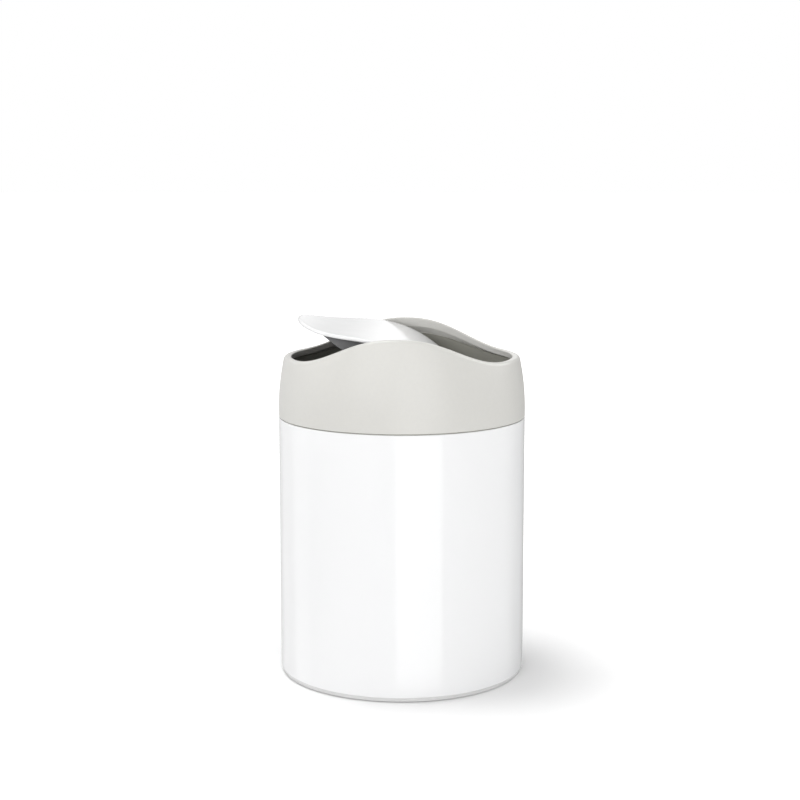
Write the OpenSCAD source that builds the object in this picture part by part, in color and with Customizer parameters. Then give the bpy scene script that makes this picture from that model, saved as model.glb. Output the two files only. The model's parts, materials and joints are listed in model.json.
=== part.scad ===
// Push top countertop bin: a round steel bin whose lid ring carries a flap that
// tips either way when one end is pushed. The flap is shown pushed open.
// X runs along the flap, Y along its pivot, Z up, with the origin at the centre of the base.

/* [Steel body] */
// Outer diameter of the body
body_d = 120; // [105:1:150]
// Height of the shell's top edge above the table
body_h = 126.3; // [90:0.1:200]
// Sheet thickness of the shell and of the floor
sheet_t = 0.6; // [0.4:0.1:0.9]
// Height of the fold inside the top edge
hem_h = 5; // [3:0.5:10]
// Radius of the folded top edge
hem_edge_r = 0.4; // [0.2:0.1:0.5]
// Width of the turned-in edge at the bottom
turn_in_w = 2.2; // [1.8:0.1:3]
// Outer bend radius of the turned-in edge
turn_in_r = 1; // [0.8:0.1:1.4]
// Height of the floor's skirt
floor_skirt_h = 6.4; // [5:0.2:12]
// Bend radius at the edge of the floor
floor_bend_r = 1.4; // [1:0.1:3]
// Depth of the shallow dish pressed into the floor
floor_dish_h = 1.2; // [0.4:0.1:2.5]
// Width of the flat around the dish
floor_flat_w = 8; // [5:0.5:14]

/* [Base] */
// Height of the grey band below the shell
band_h = 2; // [1.5:0.1:5]
// How far the band stands in from the shell
band_recess = 1; // [0.4:0.1:2]
// Radial width of the base ring
base_ring_w = 15; // [13:0.5:22]
// Thickness of the base ring's flat
base_ring_t = 1.4; // [1.2:0.1:2]
// Wall of the base ring's upstand
upstand_t = 1.4; // [1:0.1:2]
// How far the snap bead of the base ring stands out
snap_bead = 0.6; // [0.3:0.1:0.8]
// Number of stiffening ribs under the base ring
base_rib_n = 16; // [6:1:24]
// Radial width of the rubber grip ring
grip_w = 5; // [3:0.5:6]
// How far the grip ring stands below the base ring
grip_proud = 0.4; // [0.2:0.1:0.8]
// How deep the grip ring sits in its groove
grip_depth = 0.8; // [0.4:0.1:0.9]

/* [Lid ring] */
// Height of the dark seam between shell and ring
seam_h = 0.6; // [0.4:0.1:1.2]
// How far the seam stands in from the shell
seam_recess = 0.7; // [0.4:0.1:1]
// Height of the rim above the shell at its low sides
rim_low_h = 29.5; // [26:0.5:40]
// Rise of the rim's wave at the front and back
wave_h = 13.2; // [10:0.2:16]
// Exponent that shapes the wave, 1 is a cosine
wave_k = 1.185; // [1:0.005:1.4]
// Length of the level stretch of rim at each side
wave_level_w = 6.8; // [3:0.2:10]
// Height above the shell where the ring starts to draw in
taper_h = 3.7; // [2:0.1:8]
// Radius of the ring's drawn-in side
taper_r = 115; // [100:1:160]
// Wall of the ring below the rim
ring_t = 1.2; // [1.1:0.1:1.5]
// Width of the rim at the low sides
rim_side_w = 3.6; // [3:0.1:4.4]
// Width of the rim at the crests
rim_crest_w = 3; // [2.6:0.1:3.4]
// Rounding of the rim's outer edge
rim_outer_r = 1.2; // [0.8:0.1:1.4]
// Rounding of the rim's inner edge
rim_inner_r = 0.7; // [0.5:0.1:0.9]
// Height of the rim's inner face at the low sides
face_side_h = 2.9; // [2:0.1:3.2]
// Height of the rim's inner face at the crests
face_crest_h = 4.4; // [3:0.1:5]
// Depth of the rim, down to the ledge under it, at the low sides
ledge_side_h = 3.3; // [3.3:0.1:4.4]
// Depth of the rim, down to the ledge under it, at the crests
ledge_crest_h = 7.5; // [7:0.1:8.4]
// Width of the chamfer above the ledge
chamfer_w = 0.6; // [0.4:0.1:0.8]

/* [Lid carrier] */
// Depth of the plug that sits in the shell
plug_h = 14; // [10:0.5:24]
// Wall of the plug
plug_t = 1.6; // [1.2:0.1:2.4]
// Gap between the plug and the folded top edge
plug_gap = 1; // [0.8:0.1:1.4]
// Gap between the plug's ribs and the folded top edge
plug_rib_gap = 0.3; // [0.3:0.05:0.5]
// Number of ribs around the plug
plug_rib_n = 12; // [6:1:24]
// Radius of a plug rib
plug_rib_r = 1; // [0.9:0.1:1.3]
// Thickness of the inner wall, which lines the ring up to its ledge
liner_t = 1; // [0.8:0.1:1.1]
// Clearance between the inner wall and the ring
liner_gap = 0.15; // [0.1:0.05:0.2]
// Gap between the top of the inner wall and the ring's ledge
ledge_gap = 0.4; // [0.3:0.1:0.8]
// Height in which the plug's inside widens to the inner wall
widen_h = 2.4; // [1.6:0.1:4]
// Height of the snap bead above the seam
snap_up = 2.6; // [2:0.1:3]
// Height of the snap bead
snap_h = 1.6; // [1.2:0.1:1.8]
// How far the snap bead stands out of the inner wall
snap_w = 0.5; // [0.3:0.05:0.5]
// Clearance around the snap bead in the ring's groove
snap_gap = 0.1; // [0.05:0.05:0.2]

/* [Pivot posts] */
// Half width of a post
post_hw = 8.5; // [8:0.25:10]
// Height above the seam where a post starts to lean in
post_lean_h = 6.4; // [5:0.2:10]
// Half width of a post's flat top
post_top_hw = 4; // [3.6:0.2:5]
// Height of the material above the pivot
eye_h = 3.1; // [2.8:0.1:3.4]
// Gap between a post and the ring
post_gap = 0.4; // [0.3:0.1:0.7]
// Gap between a post and the flap
flap_post_gap = 0.7; // [0.6:0.1:1]
// Radius of a stop peg
peg_r = 1.2; // [1:0.1:1.5]
// Distance of a stop peg from the pivot
peg_orbit = 8.4; // [8:0.1:9]
// How far a stop peg reaches in past the flap's edge
peg_reach = 2.6; // [1.8:0.1:3]
// Largest swing of the flap from shut, either way
swing = 60; // [50:1:64]
// Gap left between a stop peg and the cover at full swing
stop_gap = 0.3; // [0.2:0.1:0.6]

/* [Pivot pins and bushes] */
// Radius of a pivot pin
pin_r = 1.25; // [1:0.05:1.4]
// Running clearance of a pin in its bush
pin_clear = 0.05; // [0.02:0.01:0.1]
// Clearance of a pin in the flap frame
pin_fit = 0.02; // [0.01:0.01:0.05]
// Radius of a pin's head
pin_head_r = 2.2; // [1.8:0.1:2.6]
// Thickness of a pin's head
pin_head_t = 0.8; // [0.6:0.1:1.2]
// Wall of a bush
bush_t = 0.65; // [0.5:0.05:0.8]
// Clearance of a bush in its post
bush_fit = 0.02; // [0.01:0.01:0.05]
// Thickness of a bush's flange
bush_flange_t = 0.4; // [0.3:0.05:0.5]
// How far a bush's flange stands out around its hole
bush_flange_w = 0.7; // [0.5:0.05:0.8]

/* [Flap cover] */
// Gap between the flap's ends and the rim
flap_end_gap = 1; // [0.8:0.1:1.6]
// Gap between the flap's sides and the rim
flap_side_gap = 0.5; // [0.4:0.05:1]
// Thickness of the cover
flap_t = 1.8; // [1.4:0.1:2.2]
// Depth of the flap's crest below the rim's crests when shut
crest_below = 4.75; // [4:0.05:5.2]
// Depth of the flap's ends below the low sides when shut
end_below = 2.4; // [1.6:0.1:3]
// Exponent that shapes the arch, 1 is a cosine
arch_k = 1.07; // [1:0.01:1.2]
// Length of the level stretch at each end of the arch
arch_level_w = 1.4; // [0.6:0.1:4]
// Angle by which the flap is shown open
open_angle = 23.8; // [0:0.2:40]

/* [Flap frame] */
// How far the frame's skirt stands in from the cover's edge
skirt_inset = 5; // [4.2:0.1:6]
// Wall of the skirt
skirt_t = 1.6; // [1.2:0.1:2]
// Depth of the skirt below the pivot
keel_h = 7.5; // [6.5:0.1:8.5]
// How far the skirt's lower edge rises towards the ends
keel_rise = 2.6; // [1.5:0.1:3.4]
// Thickness of the ribs
rib_t = 1.4; // [1:0.1:2]
// Distance of the outer cross ribs from the pivot
cross_rib_x = 21; // [17:0.5:26]
// Distance of the long ribs from the middle
long_rib_y = 21; // [16:0.5:28]
// Wall of a pin boss
boss_t = 1.7; // [1.2:0.1:2]
// Length of a pin boss
boss_l = 5; // [4:0.5:7]

/* [Balance weight] */
// Width of the weight
bar_w = 12; // [8:0.5:13]
// Height of the weight
bar_h = 5; // [3:0.5:6]
// Length of the weight
bar_l = 62; // [50:1:68]
// Clearance around the weight
bar_gap = 0.2; // [0.1:0.05:0.4]
// Depth of the trough's floor below the skirt
trough_below = 3; // [2:0.1:4]
// Thickness of the trough's floor
trough_t = 2.4; // [2:0.1:3]
// Distance between the two screws
screw_pitch = 46; // [34:1:48]
// Radius of a screw's shank
screw_r = 1.25; // [1:0.05:1.4]
// Clearance of a screw in the weight
screw_clear = 0.3; // [0.2:0.05:0.5]
// Radius of a screw's head
screw_head_r = 2.5; // [2.2:0.1:3]
// Height of a screw's head
screw_head_h = 1.8; // [1.2:0.1:2.2]
// Length of thread in the trough's floor
screw_grip = 1.8; // [1.2:0.1:1.9]

/* [Hidden] */
$fn = 72;

// Steps around the lid ring and around the flap, and steps in a rounded edge
ring_steps = 120;
flap_steps = 96;
arc_steps = 4;
// Overlap of cutters past the faces they cut, and the reach of a cutter past everything
eps = 0.01;
reach = 2 * body_d;

// Steel body
body_r = body_d / 2;
shell_in_r = body_r - sheet_t;
hem_in_r = shell_in_r - sheet_t;
shell_bottom_z = band_h;
lip_in_r = body_r - turn_in_w;
turn_in_in_r = turn_in_r - sheet_t;
pan_bottom_z = shell_bottom_z + sheet_t;
pan_gap = 0.1;
pan_r = shell_in_r - pan_gap;
pan_top_z = pan_bottom_z + floor_skirt_h;

// Base ring
base_r = body_r - band_recess;
base_z = grip_proud;
base_in_r = base_r - base_ring_w;
upstand_gap = 0.2;
upstand_r = lip_in_r - upstand_gap;
upstand_top_z = pan_top_z - sheet_t;
bead_gap = 0.1;
bead_z = pan_bottom_z + bead_gap;
bead_h = 1.2;
grip_fit = 0.05;
grip_mid_r = (base_in_r + upstand_r - upstand_t) / 2;
grip_out_r = grip_mid_r + grip_w / 2;
grip_in_r = grip_mid_r - grip_w / 2;
base_rib_t = 1.2;

// Lid ring: heights of its bottom, its low sides, its crests and the ledge under a crest
ring_bottom_z = body_h + seam_h;
side_z = body_h + rim_low_h;
crest_z = side_z + wave_h;
crest_ledge_z = crest_z - ledge_crest_h;
taper_z = body_h + taper_h;

// Outer radius of the ring at height z
function ring_r(z) = body_r - pow(max(0, z - taper_z), 2) / (2 * taper_r);

// Cosine bell from 1 in the middle to 0 at half_l, shaped by the exponent k
function bell(x, half_l, k) = (1 + cos(180 * pow(min(1, abs(x) / half_l), k))) / 2;

wave_half_l = ring_r(side_z) - wave_level_w;
function wave(x) = bell(x, wave_half_l, wave_k);

// Width of the rim at angle a, measured from the front
function rim_w(a) = rim_crest_w + (rim_side_w - rim_crest_w) * pow(sin(a), 2);

// Radius and height of a point that lies inset from the ring's outer face, and below
// the wave by side_drop at the low sides and by crest_drop at the crests. The height
// sets the radius and the radius the height, so a few rounds settle both.
function on_ring(a, inset, side_drop, crest_drop, rounds = 4) =
    rounds == 0 ? [ring_r(side_z) - inset, side_z] :
    let (
        last = on_ring(a, inset, side_drop, crest_drop, rounds - 1),
        w = wave(last[0] * sin(a)),
        z = side_z + wave_h * w - side_drop - (crest_drop - side_drop) * w
    )
    [ring_r(z) - inset, z];

// Lid carrier
carrier_r = hem_in_r - plug_gap;
carrier_in_r = carrier_r - plug_t;
carrier_rib_r = hem_in_r - plug_rib_gap;
seam_r = body_r - seam_recess;
plug_bottom_z = body_h - plug_h;
lead_in = plug_t / 2;

// Height of the ring's ledge at x, and the outer radius of the inner wall at height z
function ledge_z(x) = side_z - ledge_side_h + (wave_h - ledge_crest_h + ledge_side_h) * wave(x);
function liner_r(z) = ring_r(z) - ring_t - liner_gap;
snap_z = ring_bottom_z + snap_up;
snap_r = liner_r(snap_z) + snap_w;

// Pivot, placed under the ledge of the crests
eye_gap = 0.4;
post_top_z = crest_ledge_z - eye_gap;
pivot_z = post_top_z - eye_h;

// Flap, sized to the rim with its gaps
flap_rx = ring_r(side_z) - rim_side_w - flap_end_gap;
flap_ry = ring_r(crest_z) - rim_crest_w - flap_side_gap;
flap_top_z = crest_z - crest_below;
flap_end_z = side_z - end_below;
flap_edge_r = flap_t / 2;
arch_half_l = flap_rx - arch_level_w;
function arch_z(x) = flap_end_z + (flap_top_z - flap_end_z) * bell(x, arch_half_l, arch_k);

// Lengthwise places where the cover's underside changes facet, shared by the frame
flap_xs = [for (i = [-flap_steps / 4 : flap_steps / 4])
    (flap_rx - flap_edge_r) * sin(360 * i / flap_steps)];

// Posts
post_in_y = flap_ry + flap_post_gap;
post_steps = 8;
post_foot_z = body_h + seam_h;
// Outer face of a post, so that its corners clear the ring by post_gap
function post_out_y(z) = sqrt(pow(ring_r(z) - ring_t - post_gap, 2) - post_hw * post_hw);
post_top_out_y = post_out_y(post_top_z);
post_straight_h = 9;
// A peg stands where the cover's underside comes to stop_gap from it at full swing
peg_under_h = arch_z(peg_orbit) - flap_t - pivot_z - peg_r - stop_gap;
peg_angle = 180 - swing - acos(peg_under_h / peg_orbit);
peg_tip_y = flap_ry - peg_reach;

// Bushes and pins
bush_bore_r = pin_r + pin_clear;
bush_r = bush_bore_r + bush_t;
bush_hole_r = bush_r + bush_fit;
bush_flange_r = bush_r + bush_flange_w;
bush_sunk = 0.1;
bush_end_y = post_top_out_y - bush_sunk;

// Flap frame
skirt_rx = flap_rx - skirt_inset;
skirt_ry = flap_ry - skirt_inset;
keel_z = pivot_z - keel_h;
keel_run = 0.8 * skirt_rx;
function keel_edge_z(x) = keel_z + keel_rise * pow(x / keel_run, 2);
boss_hole_r = pin_r + pin_fit;
boss_r = boss_hole_r + boss_t;
boss_proud = 1;
boss_out_y = skirt_ry + boss_proud;
boss_in_y = boss_out_y - boss_l;
boss_web_l = skirt_ry - boss_in_y - eps;
pin_end_gap = 0.3;
pin_end_y = bush_end_y - pin_end_gap;

// Balance weight and its trough
trough_hw = bar_w / 2 + bar_gap + rib_t;
trough_bottom_z = keel_z - trough_below;
bar_z = trough_bottom_z + trough_t;
trough_hl = bar_l / 2 + bar_gap + rib_t;

// Quarter arc from angle a0 to a1 about [x, z]
function arc(x, z, r, a0, a1) =
    [for (i = [0 : arc_steps]) let (a = a0 + (a1 - a0) * i / arc_steps) [x + r * cos(a), z + r * sin(a)]];

// Turns the shut flap about its pivot to the angle that is shown
module open_flap() {
    translate([0, 0, pivot_z])
        rotate([0, open_angle, 0])
            translate([0, 0, -pivot_z])
                children();
}

// Straight round bar along Y from y0 to y1, at height z
module y_bar(r, y0, y1, z, x = 0) {
    translate([x, min(y0, y1), z])
        rotate([-90, 0, 0])
            cylinder(r = r, h = abs(y1 - y0));
}

// Ellipse as a polygon whose corners lie on the cover's facet lines
module oval(rx, ry) {
    polygon([for (i = [0 : flap_steps - 1]) let (a = 360 * i / flap_steps) [rx * sin(a), ry * cos(a)]]);
}

// Steel tube with a fold inside its top edge and a turned-in bottom edge
module body_shell() {
    color([0.96, 0.96, 0.96])
        rotate_extrude()
            polygon(concat(
                [[lip_in_r, shell_bottom_z]],
                arc(body_r - turn_in_r, shell_bottom_z + turn_in_r, turn_in_r, -90, 0),
                arc(body_r - hem_edge_r, body_h - hem_edge_r, hem_edge_r, 0, 90),
                arc(hem_in_r + hem_edge_r, body_h - hem_edge_r, hem_edge_r, 90, 180),
                [[hem_in_r, body_h - hem_h], [shell_in_r, body_h - hem_h]],
                arc(shell_in_r - turn_in_in_r, shell_bottom_z + turn_in_r, turn_in_in_r, 0, -90),
                [[lip_in_r, shell_bottom_z + sheet_t]]
            ));
}

// Pressed floor with a skirt that stands on the shell's turned-in edge
module floor_pan() {
    bend_in_r = floor_bend_r - sheet_t;
    bend_z = pan_top_z - floor_bend_r;
    dish_r = pan_r - sheet_t - floor_flat_w;
    dish_run = 2 * floor_dish_h;
    color([0.75, 0.76, 0.78])
        rotate_extrude()
            polygon(concat(
                [
                    [pan_r - sheet_t, pan_bottom_z],
                    [pan_r - turn_in_in_r, pan_bottom_z],
                    [pan_r, pan_bottom_z + turn_in_in_r]
                ],
                arc(pan_r - floor_bend_r, bend_z, floor_bend_r, 0, 90),
                [
                    [dish_r, pan_top_z],
                    [dish_r - dish_run, pan_top_z - floor_dish_h],
                    [0, pan_top_z - floor_dish_h],
                    [0, pan_top_z - floor_dish_h - sheet_t],
                    [dish_r - dish_run, pan_top_z - floor_dish_h - sheet_t],
                    [dish_r, pan_top_z - sheet_t]
                ],
                arc(pan_r - floor_bend_r, bend_z, bend_in_r, 90, 0)
            ));
}

// Base ring: a flat with a groove for the grip ring and an upstand that snaps
// over the shell's turned-in edge and meets the floor
module base_ring() {
    flat_top_z = base_z + base_ring_t;
    groove_top_z = base_z + grip_depth;
    color([0.72, 0.72, 0.71]) {
        rotate_extrude()
            polygon([
                [base_in_r, base_z],
                [grip_in_r - grip_fit, base_z],
                [grip_in_r - grip_fit, groove_top_z],
                [grip_out_r + grip_fit, groove_top_z],
                [grip_out_r + grip_fit, base_z],
                [base_r, base_z],
                [base_r, shell_bottom_z],
                [upstand_r, shell_bottom_z],
                [upstand_r, bead_z],
                [upstand_r + snap_bead, bead_z + bead_h / 3],
                [upstand_r, bead_z + bead_h],
                [upstand_r, upstand_top_z],
                [upstand_r - upstand_t, upstand_top_z],
                [upstand_r - upstand_t, flat_top_z],
                [base_in_r + base_rib_t, flat_top_z],
                [base_in_r + base_rib_t, flat_top_z + base_rib_t],
                [base_in_r, flat_top_z + base_rib_t]
            ]);
        for (i = [0 : base_rib_n - 1])
            rotate([0, 0, 360 * (i + 0.5) / base_rib_n])
                translate([base_in_r + base_rib_t / 2, -base_rib_t / 2, flat_top_z - eps])
                    cube([upstand_r - upstand_t - base_in_r, base_rib_t, base_rib_t + eps]);
    }
}

// Rubber ring that the bin stands on
module grip_ring() {
    chamfer = grip_proud / 2;
    color([0.2, 0.2, 0.21])
        rotate_extrude()
            polygon([
                [grip_in_r + chamfer, 0],
                [grip_out_r - chamfer, 0],
                [grip_out_r, chamfer],
                [grip_out_r, base_z + grip_depth],
                [grip_in_r, base_z + grip_depth],
                [grip_in_r, chamfer]
            ]);
}

// One pivot post, on the side that dir names: -1 front, 1 back
module pivot_post(dir) {
    front_view = [
        [-post_hw, post_foot_z], [post_hw, post_foot_z],
        [post_hw, pivot_z - eye_h], [post_top_hw, post_top_z],
        [-post_top_hw, post_top_z], [-post_hw, pivot_z - eye_h]
    ];
    outer_zs = [for (i = [0 : post_steps]) post_top_z + (post_foot_z - post_top_z) * i / post_steps];
    side_view = concat(
        [
            [carrier_in_r, ring_bottom_z + post_lean_h],
            [post_in_y, pivot_z - post_straight_h],
            [post_in_y, post_top_z]
        ],
        [for (z = outer_zs) [min(post_out_y(z), carrier_r - eps), z]],
        [[carrier_in_r, post_foot_z]]
    );
    peg_x = peg_orbit * sin(peg_angle);
    peg_z = pivot_z - peg_orbit * cos(peg_angle);
    intersection() {
        rotate([90, 0, 0])
            linear_extrude(height = reach, center = true)
                polygon(front_view);
        multmatrix([[0, 0, 1, 0], [dir, 0, 0, 0], [0, 1, 0, 0]])
            linear_extrude(height = 2 * post_hw + 1, center = true)
                polygon(side_view);
    }
    for (side = [-1, 1])
        y_bar(peg_r, dir * peg_tip_y, dir * (post_in_y + eps), peg_z, side * peg_x);
}

// Everything below the wave of the ring's ledge
module under_ledge() {
    wave_steps = 40;
    xs = [for (i = [-wave_steps / 2 : wave_steps / 2]) 2 * body_r * i / wave_steps];
    rotate([90, 0, 0])
        linear_extrude(height = reach, center = true)
            polygon(concat(
                [for (x = xs) [x, ledge_z(x) - ledge_gap]],
                [[body_r, 0], [-body_r, 0]]
            ));
}

// Inner moulding: a plug with ribs, a lip that shows as the seam, a wall that lines the
// ring, and the two posts that carry the pivot
module lid_carrier() {
    liner_steps = 5;
    liner_bottom_z = snap_z + snap_h;
    liner_zs = [for (i = [0 : liner_steps])
        liner_bottom_z + (crest_ledge_z - liner_bottom_z) * i / liner_steps];
    section = concat(
        [
            [carrier_in_r, plug_bottom_z],
            [carrier_r - lead_in, plug_bottom_z],
            [carrier_r, plug_bottom_z + 2 * lead_in],
            [carrier_r, body_h],
            [seam_r, body_h],
            [seam_r, ring_bottom_z],
            [liner_r(snap_z), ring_bottom_z],
            [liner_r(snap_z), snap_z],
            [snap_r, snap_z + snap_h / 3],
            [snap_r, snap_z + snap_h * 2 / 3]
        ],
        [for (z = liner_zs) [liner_r(z), z]],
        [for (i = [liner_steps : -1 : 0]) [liner_r(liner_zs[i]) - liner_t, liner_zs[i]]],
        [
            [liner_r(snap_z) - liner_t, ring_bottom_z + widen_h],
            [carrier_in_r, ring_bottom_z]
        ]
    );
    color([0.42, 0.42, 0.4])
        difference() {
            union() {
                intersection() {
                    rotate_extrude()
                        polygon(section);
                    under_ledge();
                }
                for (i = [0 : plug_rib_n - 1])
                    rotate([0, 0, 360 * (i + 0.5) / plug_rib_n])
                        translate([carrier_rib_r - plug_rib_r, 0, plug_bottom_z + 2 * lead_in])
                            cylinder(r = plug_rib_r, h = plug_h - 2 * lead_in);
                for (dir = [-1, 1])
                    pivot_post(dir);
            }
            y_bar(bush_hole_r, -reach, reach, pivot_z);
        }
}

// Lid ring: one closed skin, swept around the ring through a section that follows the wave
module lid_ring() {
    wall_steps = 7;
    function outer_wall(a) = let (top_z = on_ring(a, 0, rim_outer_r, rim_outer_r)[1])
        [for (i = [0 : wall_steps - 1]) let (z = ring_bottom_z + (top_z - ring_bottom_z) * i / wall_steps)
            [ring_r(z), z]];
    function outer_edge(a) =
        [for (t = [0 : 30 : 90]) let (drop = rim_outer_r * (1 - sin(t)))
            on_ring(a, rim_outer_r * (1 - cos(t)), drop, drop)];
    function inner_edge(a) =
        [for (t = [90 : -45 : 0]) let (drop = rim_inner_r * (1 - sin(t)))
            on_ring(a, rim_w(a) - rim_inner_r * (1 - cos(t)), drop, drop)];
    function ledge(a) = [
        on_ring(a, rim_w(a), face_side_h, face_crest_h),
        on_ring(a, rim_w(a) - chamfer_w, ledge_side_h, ledge_crest_h),
        on_ring(a, ring_t, ledge_side_h, ledge_crest_h)
    ];
    function inner_r(z) = ring_r(z) - ring_t;
    groove_top_z = snap_z + snap_h + snap_gap;
    groove_r = snap_r + snap_gap;
    function inner_wall(a) = let (top_z = on_ring(a, ring_t, ledge_side_h, ledge_crest_h)[1])
        [for (i = [1 : wall_steps - 2])
            let (z = top_z + (groove_top_z - top_z) * i / (wall_steps - 2))
            [inner_r(z), z]];
    // Groove for the carrier's snap bead, and the inner bottom edge
    groove = [
        [groove_r, snap_z + snap_h * 2 / 3 + snap_gap],
        [groove_r, snap_z + snap_h / 3 - snap_gap],
        [inner_r(snap_z - snap_gap), snap_z - snap_gap],
        [inner_r(ring_bottom_z), ring_bottom_z]
    ];
    function section(a) =
        concat(outer_wall(a), outer_edge(a), inner_edge(a), ledge(a), inner_wall(a), groove);

    sections = [for (i = [0 : ring_steps - 1]) section(360 * i / ring_steps)];
    m = len(sections[0]);
    points = [for (i = [0 : ring_steps - 1]) let (a = 360 * i / ring_steps)
        for (p = sections[i]) [p[0] * sin(a), p[0] * cos(a), p[1]]];
    faces = [for (i = [0 : ring_steps - 1]) let (j = (i + 1) % ring_steps)
        for (k = [0 : m - 1]) let (l = (k + 1) % m)
            for (f = [[i * m + k, j * m + l, i * m + l], [i * m + k, j * m + k, j * m + l]]) f];
    color([0.85, 0.845, 0.825])
        polyhedron(points, faces);
}

// Flanged bush in a post, on the side that dir names
module bush(dir) {
    color([0.93, 0.92, 0.88])
        difference() {
            union() {
                y_bar(bush_r, dir * (post_in_y - bush_flange_t), dir * bush_end_y, pivot_z);
                y_bar(bush_flange_r, dir * (post_in_y - bush_flange_t), dir * post_in_y, pivot_z);
            }
            y_bar(bush_bore_r, dir * (flap_ry - 1), dir * (bush_end_y + 1), pivot_z);
        }
}

module front_bush() {
    bush(-1);
}

module back_bush() {
    bush(1);
}

// Arched cover: straight across, with a fully rounded edge all the way around
module flap_cover() {
    n = flap_steps;
    edge_ts = [0 : 30 : 180];
    levels = [for (t = edge_ts) [flap_edge_r * (1 - sin(t)), flap_edge_r * (1 - cos(t))]];
    m = len(levels);
    points = [for (level = levels) for (i = [0 : n - 1])
        let (a = 360 * i / n, x = (flap_rx - level[0]) * sin(a), y = (flap_ry - level[0]) * cos(a))
        [x, y, arch_z(x) - level[1]]];
    function at(i, k) = k * n + (i + n) % n;
    edge_faces = [for (k = [0 : m - 2]) for (i = [0 : n - 1])
        let (first = at(i, k), below = at(i, k + 1), beside = at(i + 1, k), far = at(i + 1, k + 1))
            for (f = [[first, below, far], [first, far, beside]]) f];
    // A strip runs straight across from point i to its mirror point n/2 - i
    function strips(k, flip) = [for (i = [-n / 4 : n / 4 - 1])
        let (quad = [at(i, k), at(i + 1, k), at(n / 2 - i - 1, k), at(n / 2 - i, k)],
            face = i == -n / 4 ? [quad[0], quad[1], quad[2]] :
                i == n / 4 - 1 ? [quad[0], quad[1], quad[3]] : quad)
        flip ? [for (j = [len(face) - 1 : -1 : 0]) face[j]] : face];
    color([0.97, 0.97, 0.97])
        open_flap()
            polyhedron(points, concat(edge_faces, strips(0, false), strips(m - 1, true)));
}

// Lengthwise outline between the cover's underside and a lower edge, for ribs and skirt
module rib_outline() {
    xs = [for (x = flap_xs) if (keel_edge_z(x) < arch_z(x) - flap_t) x];
    rotate([90, 0, 0])
        linear_extrude(height = reach, center = true)
            polygon(concat(
                [for (x = xs) [x, arch_z(x) - flap_t]],
                [for (i = [len(xs) - 1 : -1 : 0]) [xs[i], keel_edge_z(xs[i])]]
            ));
}

// Everything below the cover's underside
module under_cover() {
    rotate([90, 0, 0])
        linear_extrude(height = reach, center = true)
            polygon(concat(
                [for (x = flap_xs) [x, arch_z(x) - flap_t]],
                [[flap_xs[len(flap_xs) - 1], 0], [flap_xs[0], 0]]
            ));
}

// Walls of the frame seen from above: the oval skirt, the cross ribs and the long ribs
module frame_plan() {
    difference() {
        oval(skirt_rx, skirt_ry);
        oval(skirt_rx - skirt_t, skirt_ry - skirt_t);
    }
    intersection() {
        oval(skirt_rx - eps, skirt_ry - eps);
        union() {
            for (side = [-1, 1]) {
                translate([side * cross_rib_x - rib_t / 2, -body_r])
                    square([rib_t, body_d]);
                translate([-body_r, side * long_rib_y - rib_t / 2])
                    square([body_d, rib_t]);
            }
        }
    }
}

// Trough that holds the weight, its side walls carried on to the skirt
module trough() {
    trough_h = flap_top_z - trough_bottom_z;
    wall_l = 2 * skirt_ry * sqrt(1 - pow(trough_hw / skirt_rx, 2)) - skirt_t;
    for (side = [-1, 1]) {
        translate([side * (trough_hw - rib_t / 2) - rib_t / 2, -trough_hl, trough_bottom_z])
            cube([rib_t, 2 * trough_hl, trough_h]);
        translate([side * (trough_hw - rib_t / 2) - rib_t / 2, -wall_l / 2, keel_z])
            cube([rib_t, wall_l, trough_h]);
        translate([-trough_hw, side * (trough_hl - rib_t / 2) - rib_t / 2, trough_bottom_z])
            cube([2 * trough_hw, rib_t, trough_t + bar_h / 2]);
    }
    translate([-trough_hw, -trough_hl, trough_bottom_z])
        cube([2 * trough_hw, 2 * trough_hl, trough_t]);
}

// Frame under the cover: skirt, ribs, trough and the bosses of the pins
module flap_frame() {
    color([0.36, 0.36, 0.37])
        open_flap()
            difference() {
                union() {
                    intersection() {
                        linear_extrude(height = reach)
                            frame_plan();
                        rib_outline();
                    }
                    intersection() {
                        trough();
                        under_cover();
                    }
                    for (dir = [-1, 1]) {
                        y_bar(boss_r, dir * boss_in_y, dir * boss_out_y, pivot_z);
                        translate([-rib_t / 2, dir > 0 ? boss_in_y : -boss_in_y - boss_web_l, pivot_z])
                            cube([rib_t, boss_web_l, flap_top_z - flap_t - pivot_z - eps]);
                    }
                }
                for (dir = [-1, 1])
                    y_bar(boss_hole_r, dir * (boss_in_y - 1), dir * (boss_out_y + 1), pivot_z);
                translate([-bar_w / 2 - bar_gap, -bar_l / 2 - bar_gap, bar_z])
                    cube([bar_w + 2 * bar_gap, bar_l + 2 * bar_gap, reach]);
                for (side = [-1, 1])
                    translate([0, side * screw_pitch / 2, bar_z - screw_grip])
                        cylinder(r = screw_r + pin_fit, h = reach);
            }
}

// Pivot pin with its head inside the frame, on the side that dir names
module pin(dir) {
    color([0.7, 0.7, 0.72])
        open_flap() {
            y_bar(pin_r, dir * (boss_in_y - pin_head_t), dir * pin_end_y, pivot_z);
            y_bar(pin_head_r, dir * (boss_in_y - pin_head_t), dir * boss_in_y, pivot_z);
        }
}

module front_pin() {
    pin(-1);
}

module back_pin() {
    pin(1);
}

// Steel bar that swings the flap shut
module balance_weight() {
    color([0.6, 0.61, 0.63])
        open_flap()
            difference() {
                translate([-bar_w / 2, -bar_l / 2, bar_z])
                    cube([bar_w, bar_l, bar_h]);
                for (side = [-1, 1])
                    translate([0, side * screw_pitch / 2, bar_z - 1])
                        cylinder(r = screw_r + screw_clear, h = bar_h + 2);
            }
}

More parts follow.
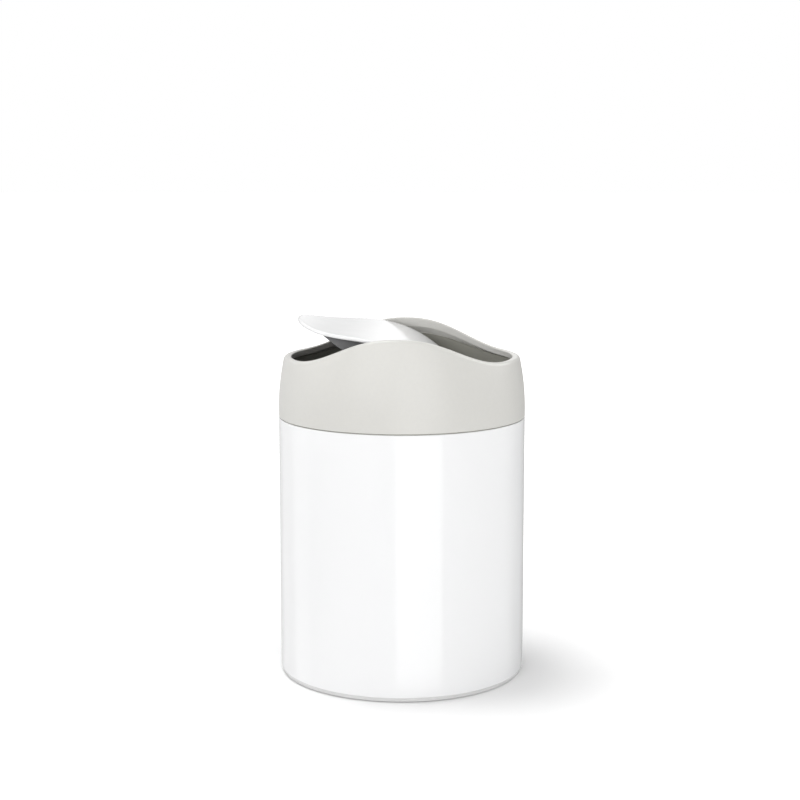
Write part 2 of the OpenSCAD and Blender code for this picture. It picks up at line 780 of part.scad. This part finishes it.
// Two pan-head screws through the weight into the trough's floor
module weight_screws() {
    slot_t = 0.6;
    color([0.7, 0.7, 0.72])
        open_flap()
            for (side = [-1, 1])
                translate([0, side * screw_pitch / 2, 0])
                    difference() {
                        union() {
                            translate([0, 0, bar_z - screw_grip])
                                cylinder(r = screw_r, h = screw_grip + bar_h + eps);
                            translate([0, 0, bar_z + bar_h])
                                cylinder(r = screw_head_r, h = screw_head_h);
                        }
                        for (turn = [0, 90])
                            rotate([0, 0, turn])
                                translate([-slot_t / 2, -screw_r, bar_z + bar_h + screw_head_h / 2])
                                    cube([slot_t, 2 * screw_r, screw_head_h]);
                    }
}

body_shell();
floor_pan();
base_ring();
grip_ring();
lid_carrier();
lid_ring();
front_bush();
back_bush();
flap_cover();
flap_frame();
front_pin();
back_pin();
balance_weight();
weight_screws();
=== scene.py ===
import json
import math

import bmesh
import bpy
from mathutils import Matrix, Vector


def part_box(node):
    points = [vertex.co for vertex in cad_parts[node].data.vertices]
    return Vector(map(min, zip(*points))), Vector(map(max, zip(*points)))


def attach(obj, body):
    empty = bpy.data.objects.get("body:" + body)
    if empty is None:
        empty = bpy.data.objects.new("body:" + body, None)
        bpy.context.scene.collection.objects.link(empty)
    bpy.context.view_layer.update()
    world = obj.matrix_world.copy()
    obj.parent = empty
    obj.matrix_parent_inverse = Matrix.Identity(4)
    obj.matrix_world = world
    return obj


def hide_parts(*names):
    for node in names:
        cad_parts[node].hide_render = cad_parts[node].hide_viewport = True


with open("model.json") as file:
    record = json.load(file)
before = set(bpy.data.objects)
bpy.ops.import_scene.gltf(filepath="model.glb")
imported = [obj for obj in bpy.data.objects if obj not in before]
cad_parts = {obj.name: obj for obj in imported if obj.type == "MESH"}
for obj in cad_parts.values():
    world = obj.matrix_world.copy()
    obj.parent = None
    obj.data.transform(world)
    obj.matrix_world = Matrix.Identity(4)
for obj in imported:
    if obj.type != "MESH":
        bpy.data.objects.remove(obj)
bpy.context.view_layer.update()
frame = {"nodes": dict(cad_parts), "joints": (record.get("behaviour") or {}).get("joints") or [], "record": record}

MM = 0.001
nodes = frame["nodes"]


# Sizes that the frame gives, and how far the ring's foot comes down to close the seam
shell_lo, shell_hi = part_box("body_shell")
ring_lo, ring_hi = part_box("lid_ring")
SEAM_CLOSED_BY = 0.15 * MM
BODY_R = shell_hi.x
SHELL_BOTTOM_Z = shell_lo.z
SHELL_TOP_Z = shell_hi.z
RING_BOTTOM_Z = ring_lo.z - SEAM_CLOSED_BY
CREST_Z = ring_hi.z
PIVOT_Z = next(j["pos_m"][2] for j in frame["joints"] if j["name"] == "flap_swing")

# Steel body
SHEET_T = 0.6 * MM
SHEET_CUT_R = SHEET_T / 4
HEM_H = 5 * MM
HEM_EDGE_R = 0.58 * MM
TURN_IN_W = 2.2 * MM
TURN_IN_R = 1 * MM

# Lid ring
WAVE_H = 13.2 * MM
WAVE_K = 1.185
WAVE_LEVEL_W = 6.8 * MM
TAPER_Z = SHELL_TOP_Z + 3.7 * MM
TAPER_R = 115 * MM
RING_T = 1.2 * MM
RIM_SIDE_W = 3.6 * MM
RIM_CREST_W = 3 * MM
RIM_OUTER_R = 1.2 * MM
RIM_INNER_R = 0.7 * MM
FACE_SIDE_H = 2.9 * MM
FACE_CREST_H = 4.4 * MM
LEDGE_SIDE_H = 3.3 * MM
LEDGE_CREST_H = 7.5 * MM
CHAMFER_W = 1.6 * MM
FOOT_R = 0.25 * MM
SIDE_Z = CREST_Z - WAVE_H

# Flap cover
FLAP_END_GAP = 1 * MM
FLAP_SIDE_GAP = 0.5 * MM
FLAP_T = 1.8 * MM
FLAP_EDGE_R = FLAP_T / 2
CREST_BELOW = 4.75 * MM
END_BELOW = 2.4 * MM
ARCH_K = 1.07
ARCH_LEVEL_W = 1.4 * MM
OPEN_ANGLE = math.radians(23.8)

# Steps round the pieces, up their walls and along a rounded edge
ROUND_STEPS = 256
RING_STEPS = 320
FLAP_STEPS = 240
FLAP_ACROSS_STEPS = FLAP_STEPS // 8
WALL_STEPS = 12
FACE_STEPS = 3
EDGE_STEPS = 8
SMALL_EDGE_STEPS = 4
HEIGHT_ROUNDS = 5

# Faces that meet at a larger angle make a sharp edge, in degrees
SMOOTH_ANGLE = 32
RING_SMOOTH_ANGLE = 24


# Camera, fitted to the outline of the bin in the photograph
CAM_DISTANCE = 824.4 * MM
CAM_HEIGHT = 257.9 * MM
CAM_AZIMUTH = math.radians(2.509)
CAM_YAW = math.radians(0.063)
CAM_PITCH = math.radians(8.571)
CAM_LENS = 76.85
CAM_SENSOR_W = 36
CAM_NEAR = 0.01
CAM_FAR = 50


def add_object(name, data):
    """An object that holds the mesh, lamp or camera, in the scene."""
    made = bpy.data.objects.new(name, data)
    bpy.context.collection.objects.link(made)
    return made


def aim(thing, forward):
    """Turns a camera or lamp so that it looks along forward."""
    thing.rotation_mode = "QUATERNION"
    thing.rotation_quaternion = forward.to_track_quat("-Z", "Y")


def toward(azimuth, elevation=0.0):
    """Unit vector from the bin towards an azimuth, 0 in front and a quarter turn on the right."""
    return Vector((
        math.sin(azimuth) * math.cos(elevation),
        -math.cos(azimuth) * math.cos(elevation),
        math.sin(elevation),
    ))


def make_camera():
    data = bpy.data.cameras.new("camera")
    data.lens = CAM_LENS
    data.sensor_width = CAM_SENSOR_W
    data.clip_start = CAM_NEAR
    data.clip_end = CAM_FAR
    camera = add_object("camera", data)
    camera.location = CAM_DISTANCE * toward(CAM_AZIMUTH) + Vector((0, 0, CAM_HEIGHT))
    aim(camera, -toward(CAM_AZIMUTH + CAM_YAW, CAM_PITCH))
    bpy.context.scene.camera = camera


# Node helpers


def add(tree, kind, inputs=None, **settings):
    """A shader node with its settings, and its inputs either set or linked."""
    made = tree.nodes.new("ShaderNode" + kind)
    for key, value in settings.items():
        setattr(made, key, value)
    for key, value in (inputs or {}).items():
        if isinstance(value, bpy.types.NodeSocket):
            tree.links.new(value, made.inputs[key])
        else:
            made.inputs[key].default_value = value
    return made


def surface_material(name):
    """An empty node material, with its tree and the socket that its surface goes to."""
    made = bpy.data.materials.new(name)
    made.use_nodes = True
    tree = made.node_tree
    tree.nodes.clear()
    return made, tree, add(tree, "OutputMaterial").inputs["Surface"]


def new_material(name, **sockets):
    """A Principled material whose constant values are set on the shader's own sockets."""
    made, tree, surface = surface_material(name)
    shader = add(tree, "BsdfPrincipled", sockets)
    tree.links.new(shader.outputs["BSDF"], surface)
    return made, tree, shader


def calculate(tree, operation, first, second):
    """What a Math node makes of two values."""
    return add(tree, "Math", {0: first, 1: second}, operation=operation).outputs["Value"]


def noise(tree, scale, detail=2.0, stretch=(1, 1, 1), rough=0.5):
    """Noise in the object's own space. Scale counts features per metre."""
    place = add(tree, "TexCoord")
    mapping = add(tree, "Mapping", {"Vector": place.outputs["Object"], "Scale": stretch})
    made = add(tree, "TexNoise", {
        "Vector": mapping.outputs["Vector"], "Scale": scale, "Detail": detail, "Roughness": rough,
    })
    return made.outputs["Fac"]


def spread(tree, value, low, high, start=0.3, end=0.7):
    """Low to high, as value goes from start to end."""
    made = add(tree, "MapRange", {
        "Value": value, "From Min": start, "From Max": end, "To Min": low, "To Max": high,
    })
    return made.outputs["Result"]


def tint(tree, value, dark, light, start=0.3, end=0.7):
    """Colour from dark to light, as value goes from start to end."""
    ramp = add(tree, "ValToRGB", {"Fac": value})
    ramp.color_ramp.elements[0].position = start
    ramp.color_ramp.elements[1].position = end
    ramp.color_ramp.elements[0].color = (*dark, 1)
    ramp.color_ramp.elements[1].color = (*light, 1)
    return ramp.outputs["Color"]


def bump(tree, height, depth):
    """Normal with a relief of that depth in metres."""
    return add(tree, "Bump", {"Height": height, "Distance": depth}).outputs["Normal"]


def link(tree, shader, **sockets):
    """Links values to the shader's sockets, whose names have underscores here for spaces."""
    for key, value in sockets.items():
        tree.links.new(value, shader.inputs[key.replace("_", " ")])


# Materials, one function each


def body_paint():
    """Gloss white enamel: a faint orange peel and hardly any change of tone."""
    made, tree, shader = new_material("body_paint")
    tone = noise(tree, scale=14, detail=3)
    gloss = noise(tree, scale=60, detail=3)
    peel = noise(tree, scale=620)
    link(
        tree, shader,
        Base_Color=tint(tree, tone, dark=(0.862, 0.865, 0.87), light=(0.876, 0.878, 0.882)),
        Roughness=spread(tree, gloss, low=0.1, high=0.16),
        Normal=bump(tree, peel, depth=0.004 * MM),
    )
    return made


def moulded(name, color, rough):
    """Matte or satin moulded plastic with a fine eroded grain."""
    fleck = 0.012
    made, tree, shader = new_material(name)
    grain = noise(tree, scale=2400, detail=4, rough=0.62)
    tone = noise(tree, scale=600, detail=5, rough=0.7)
    dark = [c * (1 - fleck) for c in color]
    light = [c * (1 + fleck) for c in color]
    link(
        tree, shader,
        Base_Color=tint(tree, tone, dark, light),
        Roughness=spread(tree, grain, low=rough * 0.9, high=rough * 1.1),
        Normal=bump(tree, grain, depth=0.014 * MM),
    )
    return made


def flap_white():
    """Polished white moulding, with the slight waviness of moulded gloss."""
    made, tree, shader = new_material("flap_white", **{"Specular IOR Level": 0.3})
    tone = noise(tree, scale=30, detail=3)
    gloss = noise(tree, scale=90, detail=3)
    wave = noise(tree, scale=16, detail=1)
    link(
        tree, shader,
        Base_Color=tint(tree, tone, dark=(0.835, 0.835, 0.838), light=(0.85, 0.85, 0.852)),
        Roughness=spread(tree, gloss, low=0.09, high=0.12),
        Normal=bump(tree, wave, depth=0.02 * MM),
    )
    return made


def grip_rubber():
    """Dull black rubber, slightly porous."""
    made, tree, shader = new_material("grip_rubber")
    tone = noise(tree, scale=500, detail=4)
    pores = noise(tree, scale=3200, detail=3)
    link(
        tree, shader,
        Base_Color=tint(tree, tone, dark=(0.03, 0.03, 0.033), light=(0.05, 0.05, 0.054)),
        Roughness=spread(tree, pores, low=0.72, high=0.86),
        Normal=bump(tree, pores, depth=0.03 * MM),
    )
    return made


def steel(name, color, rough, stretch):
    """Bare steel with fine lines along one direction."""
    made, tree, shader = new_material(name, Metallic=1.0)
    lines = noise(tree, scale=2600, detail=3, stretch=stretch)
    dark = [c * 0.86 for c in color]
    link(
        tree, shader,
        Base_Color=tint(tree, lines, dark, color),
        Roughness=spread(tree, lines, low=rough * 0.75, high=rough * 1.3),
        Normal=bump(tree, lines, depth=0.006 * MM),
    )
    return made


def floor_steel():
    """Galvanised sheet: pale spangle with crystals a few millimetres across."""
    made, tree, shader = new_material("floor_steel", Metallic=1.0)
    place = add(tree, "TexCoord")
    crystals = add(tree, "TexVoronoi", {"Vector": place.outputs["Object"], "Scale": 210})
    facet = add(tree, "SeparateColor", {"Color": crystals.outputs["Color"]}).outputs["Red"]
    fine = noise(tree, scale=900, detail=3)
    link(
        tree, shader,
        Base_Color=tint(tree, facet, dark=(0.58, 0.59, 0.61), light=(0.67, 0.68, 0.7), start=0, end=1),
        Roughness=spread(tree, facet, low=0.3, high=0.46, start=0, end=1),
        Normal=bump(tree, fine, depth=0.01 * MM),
    )
    return made


def bush_acetal():
    """Off-white acetal, waxy and slightly see-through at its edges."""
    waxy = {"Subsurface Weight": 0.15, "Subsurface Scale": 1 * MM}
    made, tree, shader = new_material("bush_acetal", **waxy)
    fine = noise(tree, scale=1800, detail=3)
    link(
        tree, shader,
        Base_Color=tint(tree, fine, dark=(0.79, 0.77, 0.71), light=(0.84, 0.82, 0.77)),
        Roughness=spread(tree, fine, low=0.3, high=0.4),
        Normal=bump(tree, fine, depth=0.01 * MM),
    )
    return made


MATERIALS = {
    "body_paint": body_paint(),
    "floor_steel": floor_steel(),
    "base_grey": moulded("base_grey", color=(0.68, 0.68, 0.675), rough=0.45),
    "grip_rubber": grip_rubber(),
    "carrier_grey": moulded("carrier_grey", color=(0.28, 0.275, 0.242), rough=0.5),
    "lid_grey": moulded("lid_grey", color=(0.635, 0.628, 0.598), rough=0.32),
    "bush_acetal": bush_acetal(),
    "flap_white": flap_white(),
    "frame_grey": moulded("frame_grey", color=(0.112, 0.112, 0.114), rough=0.42),
    "pin_steel": steel("pin_steel", color=(0.63, 0.63, 0.65), rough=0.26, stretch=(1, 0.05, 1)),
    "weight_steel": steel("weight_steel", color=(0.5, 0.51, 0.54), rough=0.38, stretch=(0.06, 1, 1)),
}


# Mesh helpers


def mesh_object(name, mesh_data, material):
    """An object of that material from the mesh data, which it frees."""
    mesh = bpy.data.meshes.new(name)
    mesh_data.to_mesh(mesh)
    mesh_data.free()
    mesh.materials.append(material)
    return add_object(name, mesh)


def finish_piece(name, mesh_data, slot, body, stands_for, smooth_angle=SMOOTH_ANGLE):
    """Adds the piece, smooth where its faces meet at less than the angle, on its body."""
    for face in mesh_data.faces:
        face.smooth = True
    for edge in mesh_data.edges:
        if edge.calc_face_angle(0) > math.radians(smooth_angle):
            edge.smooth = False
    piece = mesh_object(name, mesh_data, MATERIALS[slot])
    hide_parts(*stands_for)
    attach(piece, body)


def sweep(rows, creases=()):
    """Closed skin through rows of points: the rows run round and meet, and so does each row.
    The points that creases counts make a sharp edge all the way round."""
    made = bmesh.new()
    grid = [[made.verts.new(p) for p in row] for row in rows]
    rings = list(zip(grid, grid[1:] + grid[:1]))
    for row, after in rings:
        for k in range(len(row)):
            up = (k + 1) % len(row)
            made.faces.new((row[k], after[k], after[up], row[up]))
    bmesh.ops.recalc_face_normals(made, faces=made.faces)
    for row, after in rings:
        for k in creases:
            made.edges.get((row[k], after[k])).smooth = False
    return made


def turned(section, steps):
    """Rows of points round Z from section(a), which gives [radius, height] points at angle a."""
    angles = [math.tau * i / steps for i in range(steps)]
    return [[(r * math.sin(a), r * math.cos(a), z) for r, z in section(a)] for a in angles]


def arc(r0, z0, radius, start, end, steps=EDGE_STEPS):
    """Points of an arc round [r0, z0], with its angles in degrees."""
    turns = [math.radians(start + (end - start) * i / steps) for i in range(steps + 1)]
    return [(r0 + radius * math.cos(t), z0 + radius * math.sin(t)) for t in turns]


def between(start, end, steps):
    """Evenly spaced values from start to end without these two."""
    return [start + (end - start) * i / steps for i in range(1, steps)]


def line(start, end, steps):
    """Points along a line without its ends."""
    return list(zip(*(between(a, b, steps) for a, b in zip(start, end))))


# Steel shell


def make_shell():
    """Painted tube: folded top edge, with the folded strip lying inside, and turned-in bottom edge."""
    inner_r = BODY_R - SHEET_T
    hem_r = inner_r - SHEET_T
    lip_r = BODY_R - TURN_IN_W
    lip_cut_r = lip_r + SHEET_CUT_R
    inner_bend_r = TURN_IN_R - SHEET_T
    bend_z = SHELL_BOTTOM_Z + TURN_IN_R
    lip_top_z = SHELL_BOTTOM_Z + SHEET_T
    edge_z = SHELL_TOP_Z - HEM_EDGE_R
    hem_z = SHELL_TOP_Z - HEM_H
    lip_cut = arc(lip_cut_r, SHELL_BOTTOM_Z + SHEET_T / 2, SHEET_CUT_R, 90, 270, SMALL_EDGE_STEPS)
    profile = [
        (lip_cut_r, SHELL_BOTTOM_Z),
        *arc(BODY_R - TURN_IN_R, bend_z, TURN_IN_R, -90, 0),
        *line((BODY_R, bend_z), (BODY_R, edge_z), WALL_STEPS),
        *arc(BODY_R - HEM_EDGE_R, edge_z, HEM_EDGE_R, 0, 90),
        *arc(hem_r + HEM_EDGE_R, edge_z, HEM_EDGE_R, 90, 180),
        (hem_r, hem_z + SHEET_CUT_R),
        (hem_r + SHEET_CUT_R, hem_z),
        (inner_r - SHEET_CUT_R / 2, hem_z),
        (inner_r, hem_z - SHEET_CUT_R / 2),
        *line((inner_r, hem_z), (inner_r, bend_z), WALL_STEPS),
        *arc(inner_r - inner_bend_r, bend_z, inner_bend_r, 0, -90),
        (lip_cut_r, lip_top_z),
        *lip_cut[1:-1],
    ]
    skin = sweep(turned(lambda a: profile, ROUND_STEPS))
    finish_piece("shell", skin, "body_paint", "bin", ["body_shell"])


# Lid ring


def ring_r(z):
    """Outer radius of the ring at height z."""
    return BODY_R - max(0, z - TAPER_Z) ** 2 / (2 * TAPER_R)


def bell(x, half_l, k):
    """Cosine bell from 1 in the middle to 0 at half_l, shaped by the exponent k."""
    return (1 + math.cos(math.pi * min(1, abs(x) / half_l) ** k)) / 2


def wave(x):
    """The rim's rise over the sides, as a share of the crests' rise."""
    return bell(x, ring_r(SIDE_Z) - WAVE_LEVEL_W, WAVE_K)


def on_ring(a, inset, side_drop, crest_drop):
    """[radius, height] of a point inset from the ring's outer face and below the wave."""
    r, z = ring_r(SIDE_Z) - inset, SIDE_Z
    for _ in range(HEIGHT_ROUNDS):
        w = wave(r * math.sin(a))
        z = SIDE_Z + WAVE_H * w - side_drop - (crest_drop - side_drop) * w
        r = ring_r(z) - inset
    return r, z


def rim_edge(a, inset, radius, way):
    """Rounded edge from the face at that inset up to the rim's top. Way is 1 inwards and -1 outwards."""
    points = []
    for i in range(EDGE_STEPS + 1):
        t = math.pi / 2 * i / EDGE_STEPS
        drop = radius * (1 - math.sin(t))
        points.append(on_ring(a, inset + way * radius * (1 - math.cos(t)), drop, drop))
    return points


def ring_section(a):
    """Section of the lid ring at angle a, measured from the back. It starts with its three sharp corners."""
    width = RIM_CREST_W + (RIM_SIDE_W - RIM_CREST_W) * math.sin(a) ** 2
    top_z = on_ring(a, 0, RIM_OUTER_R, RIM_OUTER_R)[1]
    foot_z = RING_BOTTOM_Z + FOOT_R
    bottom_r = ring_r(RING_BOTTOM_Z)
    face_end = on_ring(a, width, FACE_SIDE_H, FACE_CREST_H)
    chamfer_end = on_ring(a, width - CHAMFER_W, LEDGE_SIDE_H, LEDGE_CREST_H)
    ledge_end = on_ring(a, RING_T, LEDGE_SIDE_H, LEDGE_CREST_H)
    inner_edge = rim_edge(a, width, RIM_INNER_R, -1)[::-1]
    return [
        face_end,
        chamfer_end,
        ledge_end,
        *[(ring_r(z) - RING_T, z) for z in between(ledge_end[1], RING_BOTTOM_Z, WALL_STEPS)],
        (bottom_r - RING_T, RING_BOTTOM_Z),
        *arc(bottom_r - FOOT_R, foot_z, FOOT_R, -90, 0, SMALL_EDGE_STEPS),
        *[(ring_r(z), z) for z in between(foot_z, top_z, 2 * WALL_STEPS)],
        *rim_edge(a, 0, RIM_OUTER_R, 1),
        *inner_edge,
        *line(inner_edge[-1], face_end, FACE_STEPS),
    ]


def make_ring():
    skin = sweep(turned(ring_section, RING_STEPS), creases=[0, 1, 2])
    finish_piece("ring", skin, "lid_grey", "lid", ["lid_ring"], RING_SMOOTH_ANGLE)


# Flap cover

FLAP_RX = ring_r(SIDE_Z) - RIM_SIDE_W - FLAP_END_GAP
FLAP_RY = ring_r(CREST_Z) - RIM_CREST_W - FLAP_SIDE_GAP
FLAP_TOP_Z = CREST_Z - CREST_BELOW
FLAP_END_Z = SIDE_Z - END_BELOW


def arch_z(x):
    """Height of the shut flap's top."""
    return FLAP_END_Z + (FLAP_TOP_Z - FLAP_END_Z) * bell(x, FLAP_RX - ARCH_LEVEL_W, ARCH_K)


def open_flap():
    """Turn of the shut flap about its pivot to the angle that the frame shows it at."""
    pivot = Vector((0, 0, PIVOT_Z))
    turn = Matrix.Rotation(OPEN_ANGLE, 4, "Y")
    return Matrix.Translation(pivot) @ turn @ Matrix.Translation(-pivot)


def cover_edge_point(i, turn):
    """Point i round the shut cover, at that turn over its rounded edge from the top to the underside."""
    a = math.tau * i / FLAP_STEPS
    inset = FLAP_EDGE_R * (1 - math.sin(turn))
    x = (FLAP_RX - inset) * math.sin(a)
    y = (FLAP_RY - inset) * math.cos(a)
    return Vector((x, y, arch_z(x) - FLAP_EDGE_R * (1 - math.cos(turn))))


def fill_across(made, loop):
    """Fills a loop of the cover with straight columns from its back half to its front half."""
    columns = []
    for i in range(-FLAP_STEPS // 4, FLAP_STEPS // 4 + 1):
        back, front = loop[i % FLAP_STEPS], loop[(FLAP_STEPS // 2 - i) % FLAP_STEPS]
        if back is front:
            columns.append([back] * (FLAP_ACROSS_STEPS + 1))
            continue
        inner = line(back.co, front.co, FLAP_ACROSS_STEPS)
        columns.append([back, *[made.verts.new(p) for p in inner], front])
    for one, two in zip(columns, columns[1:]):
        for k in range(FLAP_ACROSS_STEPS):
            corners = list(dict.fromkeys((one[k], one[k + 1], two[k + 1], two[k])))
            if len(corners) > 2:
                made.faces.new(corners)


def make_cover():
    """Arched cover, straight across, with a fully rounded edge."""
    made = bmesh.new()
    turns = [math.pi * i / (2 * EDGE_STEPS) for i in range(2 * EDGE_STEPS + 1)]
    edge = [[made.verts.new(cover_edge_point(i, t)) for i in range(FLAP_STEPS)] for t in turns]
    for upper, lower in zip(edge, edge[1:]):
        for i in range(FLAP_STEPS):
            j = (i + 1) % FLAP_STEPS
            made.faces.new((upper[i], lower[i], lower[j], upper[j]))
    fill_across(made, edge[0])
    fill_across(made, edge[-1])
    bmesh.ops.recalc_face_normals(made, faces=made.faces)
    bmesh.ops.transform(made, matrix=open_flap(), verts=made.verts)
    finish_piece("cover", made, "flap_white", "flap", ["flap_cover"])


# CAD nodes that stay, with the finish of their slot


def dress_nodes():
    slots = {part["node"]: part["material_slot"] for part in frame["record"]["subparts"]}
    for name, thing in nodes.items():
        if not thing.hide_render:
            thing.data.materials.clear()
            thing.data.materials.append(MATERIALS[slots[name]])


# Studio. Lamps and the card stand at one distance from the bin, in metres
STUDIO_R = 1.3

# Light of the world on surfaces. It looks white to the camera and in mirrors
WORLD_LIGHT = 0.21

# Floor, in metres. Its glow rises from near the bin to the level that is as white as the backdrop
FLOOR_HALF_W = 8
FLOOR_CELLS = 8
FLOOR_TONE = 0.88
GLOW_NEAR = 0.03
GLOW_FAR = 0.6
GLOW_NEAR_R = 0.07
GLOW_FAR_R = 0.35

# Card, with its angles measured from straight behind the bin to the right
CARD_LOW_Z = -0.6
CARD_HIGH_Z = 0.9
CARD_LEFT = math.radians(-35)
CARD_RIGHT = math.radians(70)
CARD_STEPS = 24
CARD_LEVEL = 1.2

# Tone of the card from its left end at 0 to its right end at 1
CARD_STOPS = ((0, 0.62), (0.285, 0.62), (0.33, 1), (0.37, 1), (0.42, 0.3), (0.8, 0.3), (1, 0.8))


def place_lamp(name, data, azimuth, elevation, height=0.0):
    """Puts the lamp at the studio's distance in that direction, with its face to the bin."""
    way = toward(math.radians(azimuth), math.radians(elevation))
    lamp = add_object(name, data)
    lamp.location = way * STUDIO_R + Vector((0, 0, height))
    lamp.visible_camera = False
    aim(lamp, -way)


def softbox(name, azimuth, width_angle, low_z, high_z, radiance):
    """Upright softbox that faces the bin."""
    data = bpy.data.lights.new(name, "AREA")
    data.shape = "RECTANGLE"
    data.size = 2 * STUDIO_R * math.tan(math.radians(width_angle) / 2)
    data.size_y = high_z - low_z
    data.energy = radiance * math.pi * data.size * data.size_y
    place_lamp(name, data, azimuth, 0, (low_z + high_z) / 2)


def high_softbox(name, azimuth, elevation, size, radiance):
    """Square softbox above the bin, tilted to face it."""
    data = bpy.data.lights.new(name, "AREA")
    data.size = size
    data.energy = radiance * math.pi * size * size
    place_lamp(name, data, azimuth, elevation)


def sun_light(azimuth, elevation, spread_angle, strength):
    """Large even light from above that gives the short soft shadow."""
    data = bpy.data.lights.new("sun", "SUN")
    data.energy = strength
    data.angle = math.radians(spread_angle)
    place_lamp("sun", data, azimuth, elevation)


def make_lights():
    softbox("key", azimuth=18, width_angle=42, low_z=-0.5, high_z=0.8, radiance=1.95)
    softbox("front_left", azimuth=-26, width_angle=40, low_z=0.2, high_z=0.9, radiance=1.5)
    high_softbox("front_top", azimuth=-8, elevation=48, size=0.9, radiance=1.0)
    softbox("left_strip", azimuth=-103, width_angle=24, low_z=-0.5, high_z=0.6, radiance=0.55)
    high_softbox("back_right", azimuth=120, elevation=30, size=0.9, radiance=2.0)
    high_softbox("back_left", azimuth=-150, elevation=45, size=0.9, radiance=0.7)
    high_softbox("right_side", azimuth=78, elevation=25, size=0.7, radiance=0.7)
    high_softbox("left_side", azimuth=-80, elevation=25, size=0.7, radiance=1.15)
    sun_light(azimuth=-107, elevation=74, spread_angle=26, strength=1.35)


def seen_directly(tree):
    """1 for camera, mirror and see-through rays, 0 for the rays that light a surface."""
    rays = add(tree, "LightPath").outputs
    either = calculate(tree, "MAXIMUM", rays["Is Camera Ray"], rays["Is Glossy Ray"])
    return calculate(tree, "MAXIMUM", either, rays["Is Transmission Ray"])


def make_world():
    world = bpy.data.worlds.new("studio")
    bpy.context.scene.world = world
    world.use_nodes = True
    tree = world.node_tree
    tree.nodes.clear()
    strength = spread(tree, seen_directly(tree), low=WORLD_LIGHT, high=1, start=0, end=1)
    light = add(tree, "Background", {"Color": (1, 1, 1, 1), "Strength": strength})
    output = add(tree, "OutputWorld")
    tree.links.new(light.outputs["Background"], output.inputs["Surface"])


def floor_material():
    """Matte and pale, with a faint glow that lights nothing and lifts it to the white of the backdrop."""
    made, tree, surface = surface_material("floor")
    matte = add(tree, "BsdfDiffuse", {"Color": (FLOOR_TONE, FLOOR_TONE, FLOOR_TONE, 1)})
    place = add(tree, "TexCoord").outputs["Object"]
    away = add(tree, "VectorMath", {0: place}, operation="LENGTH").outputs["Value"]
    level = spread(tree, away, GLOW_NEAR, GLOW_FAR, GLOW_NEAR_R, GLOW_FAR_R)
    glow = add(tree, "Emission", {"Strength": calculate(tree, "MULTIPLY", level, seen_directly(tree))})
    both = add(tree, "AddShader", {0: matte.outputs["BSDF"], 1: glow.outputs["Emission"]})
    tree.links.new(both.outputs["Shader"], surface)
    return made


def make_floor():
    made = bmesh.new()
    bmesh.ops.create_grid(made, x_segments=FLOOR_CELLS, y_segments=FLOOR_CELLS, size=FLOOR_HALF_W)
    floor = mesh_object("floor", made, floor_material())
    floor.visible_glossy = False


def card_material():
    """Glow whose tone goes by the angle round the bin."""
    made, tree, surface = surface_material("card")
    place = add(tree, "SeparateXYZ", {"Vector": add(tree, "TexCoord").outputs["Object"]}).outputs
    turn = calculate(tree, "ARCTAN2", place["X"], place["Y"])
    share = spread(tree, turn, low=0, high=1, start=CARD_LEFT, end=CARD_RIGHT)
    ramp = add(tree, "ValToRGB", {"Fac": share})
    for position, _ in CARD_STOPS[1:-1]:
        ramp.color_ramp.elements.new(position)
    for element, (_, tone) in zip(ramp.color_ramp.elements, CARD_STOPS):
        element.color = (tone, tone, tone, 1)
    glow = add(tree, "Emission", {"Color": ramp.outputs["Color"], "Strength": CARD_LEVEL})
    tree.links.new(glow.outputs["Emission"], surface)
    return made


def make_card():
    """Curved card that only mirrors see: grey, with a bright window straight behind the bin."""
    made = bmesh.new()
    turns = [CARD_RIGHT + (CARD_LEFT - CARD_RIGHT) * i / CARD_STEPS for i in range(CARD_STEPS + 1)]
    rows = []
    for t in turns:
        x, y = STUDIO_R * math.sin(t), STUDIO_R * math.cos(t)
        rows.append([made.verts.new((x, y, z)) for z in (CARD_LOW_Z, CARD_HIGH_Z)])
    for one, two in zip(rows, rows[1:]):
        made.faces.new((one[0], two[0], two[1], one[1]))
    card = mesh_object("card", made, card_material())
    card.visible_camera = card.visible_diffuse = card.visible_shadow = False


make_camera()
make_shell()
make_ring()
make_cover()
dress_nodes()
make_world()
make_floor()
make_card()
make_lights()

bpy.context.scene.view_settings.view_transform = "Standard"
